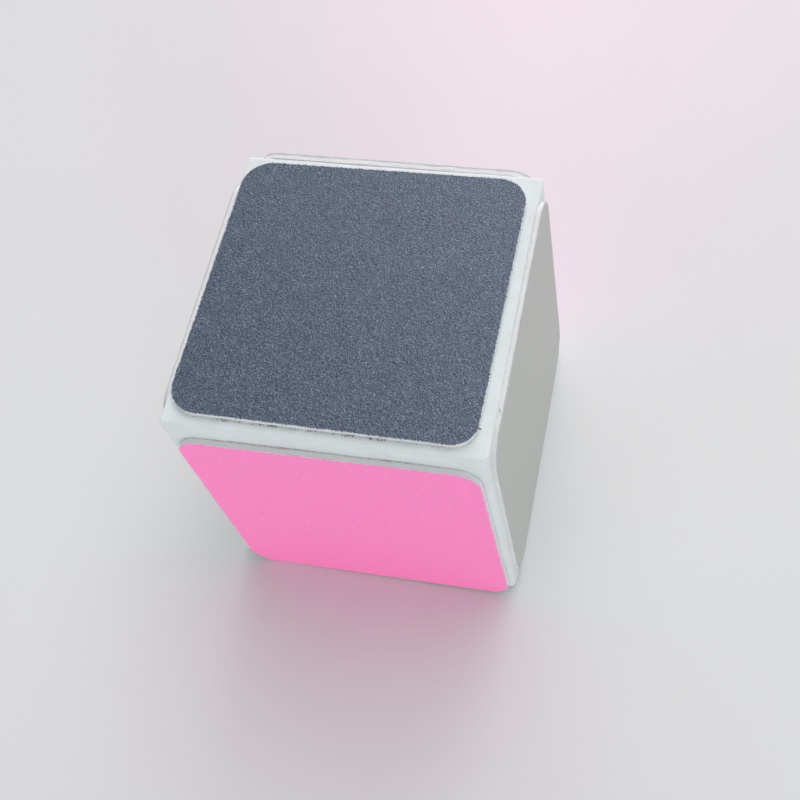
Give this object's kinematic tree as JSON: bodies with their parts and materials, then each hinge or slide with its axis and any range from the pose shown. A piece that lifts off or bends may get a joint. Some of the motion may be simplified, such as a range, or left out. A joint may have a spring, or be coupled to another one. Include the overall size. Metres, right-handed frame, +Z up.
{
  "type": "nail buffer block",
  "caption": "Cube of white foam with a round-cornered abrasive pad bonded to every face, opposite faces alike, for filing, smoothing and polishing nails by hand.",
  "frame": {"origin": "middle of the foot of the whole block: the centre of its box in plan, on the plane of the bottom pad's face", "axes": "+Z up through the top pad, -Y out of the front (fine) pad, +X out of the right (polishing) pad"},
  "size_m": [0.0392, 0.04, 0.0396],
  "materials": {
    "core_foam": "matte",
    "cushion_foam": "matte",
    "clear_adhesive": "satin",
    "coarse_abrasive": "matte",
    "fine_abrasive": "matte",
    "polishing_face": "satin"
  },
  "bodies": {
    "root": {"core_block": "core_foam", "top_adhesive_film": "clear_adhesive", "top_cushion": "cushion_foam", "top_bonding_film": "clear_adhesive", "top_abrasive_sheet": "coarse_abrasive", "bottom_adhesive_film": "clear_adhesive", "bottom_cushion": "cushion_foam", "bottom_bonding_film": "clear_adhesive", "bottom_abrasive_sheet": "coarse_abrasive", "front_adhesive_film": "clear_adhesive", "front_cushion": "cushion_foam", "front_bonding_film": "clear_adhesive", "front_abrasive_sheet": "fine_abrasive", "back_adhesive_film": "clear_adhesive", "back_cushion": "cushion_foam", "back_bonding_film": "clear_adhesive", "back_abrasive_sheet": "fine_abrasive", "left_adhesive_film": "clear_adhesive", "left_cushion": "cushion_foam", "left_bonding_film": "clear_adhesive", "left_abrasive_sheet": "polishing_face", "right_adhesive_film": "clear_adhesive", "right_cushion": "cushion_foam", "right_bonding_film": "clear_adhesive", "right_abrasive_sheet": "polishing_face"}
  },
  "joints": []
}
